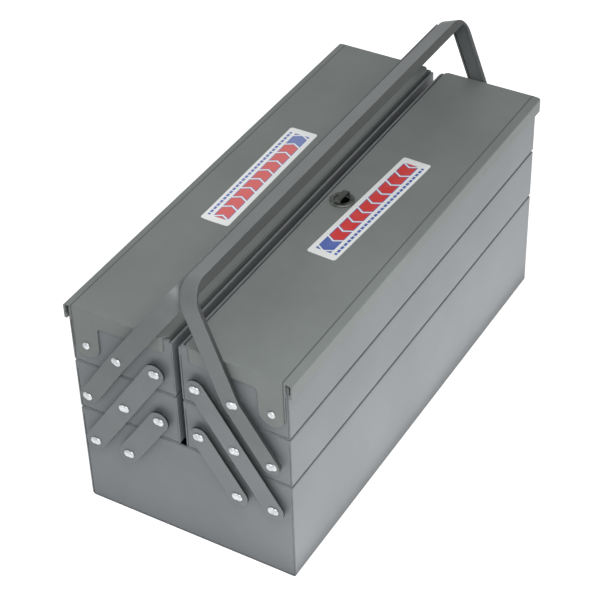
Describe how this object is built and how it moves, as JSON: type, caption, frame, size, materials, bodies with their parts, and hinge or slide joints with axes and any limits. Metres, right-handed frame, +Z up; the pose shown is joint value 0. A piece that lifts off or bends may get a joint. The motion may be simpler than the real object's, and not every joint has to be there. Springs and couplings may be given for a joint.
{
  "type": "cantilever tool case",
  "caption": "Steel tool case whose lidded trays swing out sideways on flat links as its two carrying handles part.",
  "frame": {"origin": "centre of the case's footprint, on the surface it stands on", "axes": "+X along the case, +Y towards the rear lid (the front lid has the lock staple), +Z up"},
  "size_m": [0.4582, 0.207, 0.272],
  "materials": {
    "painted_steel": "semi-gloss grey enamel",
    "painted_lids": "semi-gloss grey enamel",
    "painted_links": "semi-gloss grey enamel",
    "painted_handles": "semi-gloss grey enamel",
    "plated_rivets": "dull zinc plate",
    "plated_spacers": "dull zinc plate",
    "plated_lock": "dull zinc plate"
  },
  "bodies": {
    "case": {"case_wrapper": "painted_steel", "case_end_left": "painted_steel", "case_end_right": "painted_steel", "case_rivets": "plated_rivets", "case_spacers": "plated_spacers"},
    "front_long_links": {"front_long_link_left": "painted_links", "front_long_link_right": "painted_links"},
    "front_short_links": {"front_short_link_left": "painted_links", "front_short_link_right": "painted_links"},
    "front_middle_tray": {"front_middle_tray": "painted_steel", "front_middle_tray_end_left": "painted_steel", "front_middle_tray_end_right": "painted_steel", "front_middle_tray_rivets": "plated_rivets", "front_middle_tray_spacers": "plated_spacers"},
    "front_top_tray": {"front_top_tray": "painted_steel", "front_top_tray_end_left": "painted_steel", "front_top_tray_end_right": "painted_steel", "front_top_tray_rivets": "plated_rivets", "front_top_tray_spacers": "plated_spacers"},
    "front_handle": {"front_handle": "painted_handles"},
    "front_lid": {"front_lid": "painted_lids", "front_lid_end_left": "painted_lids", "front_lid_end_right": "painted_lids", "lock_rosette": "plated_lock", "lock_staple": "plated_lock"},
    "rear_long_links": {"rear_long_link_left": "painted_links", "rear_long_link_right": "painted_links"},
    "rear_short_links": {"rear_short_link_left": "painted_links", "rear_short_link_right": "painted_links"},
    "rear_middle_tray": {"rear_middle_tray": "painted_steel", "rear_middle_tray_end_left": "painted_steel", "rear_middle_tray_end_right": "painted_steel", "rear_middle_tray_rivets": "plated_rivets", "rear_middle_tray_spacers": "plated_spacers"},
    "rear_top_tray": {"rear_top_tray": "painted_steel", "rear_top_tray_end_left": "painted_steel", "rear_top_tray_end_right": "painted_steel", "rear_top_tray_rivets": "plated_rivets", "rear_top_tray_spacers": "plated_spacers"},
    "rear_handle": {"rear_handle": "painted_handles"},
    "rear_lid": {"rear_lid": "painted_lids", "rear_lid_end_left": "painted_lids", "rear_lid_end_right": "painted_lids"}
  },
  "joints": [
    {"name": "front_swing", "type": "hinge", "parent": "case", "child": "front_long_links", "pos_m": [0, -0.085, 0.073], "axis": [1, 0, 0], "range_deg": [0, 67.4]},
    {"name": "front_short_link_pivot", "type": "hinge", "parent": "case", "child": "front_short_links", "pos_m": [0, -0.052, 0.073], "axis": [1, 0, 0], "range_deg": [0, 67.4]},
    {"name": "front_middle_tray_pivot", "type": "hinge", "parent": "front_long_links", "child": "front_middle_tray", "pos_m": [0, -0.052, 0.1224], "axis": [1, 0, 0], "range_deg": [-67.4, 0]},
    {"name": "front_top_tray_pivot", "type": "hinge", "parent": "front_long_links", "child": "front_top_tray", "pos_m": [0, -0.019, 0.1718], "axis": [1, 0, 0], "range_deg": [-67.4, 0]},
    {"name": "front_handle_pivot", "type": "hinge", "parent": "front_middle_tray", "child": "front_handle", "pos_m": [0, -0.085, 0.1224], "axis": [1, 0, 0], "range_deg": [0, 67.4]},
    {"name": "front_lid_hinge", "type": "hinge", "parent": "front_top_tray", "child": "front_lid", "pos_m": [0, -0.085, 0.1718], "axis": [1, 0, 0], "range_deg": [0, 68]},
    {"name": "rear_swing", "type": "hinge", "parent": "case", "child": "rear_long_links", "pos_m": [0, 0.085, 0.073], "axis": [-1, 0, 0], "range_deg": [0, 67.4]},
    {"name": "rear_short_link_pivot", "type": "hinge", "parent": "case", "child": "rear_short_links", "pos_m": [0, 0.052, 0.073], "axis": [-1, 0, 0], "range_deg": [0, 67.4]},
    {"name": "rear_middle_tray_pivot", "type": "hinge", "parent": "rear_long_links", "child": "rear_middle_tray", "pos_m": [0, 0.052, 0.1224], "axis": [-1, 0, 0], "range_deg": [-67.4, 0]},
    {"name": "rear_top_tray_pivot", "type": "hinge", "parent": "rear_long_links", "child": "rear_top_tray", "pos_m": [0, 0.019, 0.1718], "axis": [-1, 0, 0], "range_deg": [-67.4, 0]},
    {"name": "rear_handle_pivot", "type": "hinge", "parent": "rear_middle_tray", "child": "rear_handle", "pos_m": [0, 0.085, 0.1224], "axis": [-1, 0, 0], "range_deg": [0, 67.4]},
    {"name": "rear_lid_hinge", "type": "hinge", "parent": "rear_top_tray", "child": "rear_lid", "pos_m": [0, 0.085, 0.1718], "axis": [-1, 0, 0], "range_deg": [0, 68]}
  ],
  "couplings": [
    {"joint": "front_short_link_pivot", "follows": "front_swing", "ratio": 1},
    {"joint": "front_middle_tray_pivot", "follows": "front_swing", "ratio": -1},
    {"joint": "front_top_tray_pivot", "follows": "front_swing", "ratio": -1},
    {"joint": "front_handle_pivot", "follows": "front_swing", "ratio": 1},
    {"joint": "rear_short_link_pivot", "follows": "rear_swing", "ratio": 1},
    {"joint": "rear_middle_tray_pivot", "follows": "rear_swing", "ratio": -1},
    {"joint": "rear_top_tray_pivot", "follows": "rear_swing", "ratio": -1},
    {"joint": "rear_handle_pivot", "follows": "rear_swing", "ratio": 1}
  ]
}
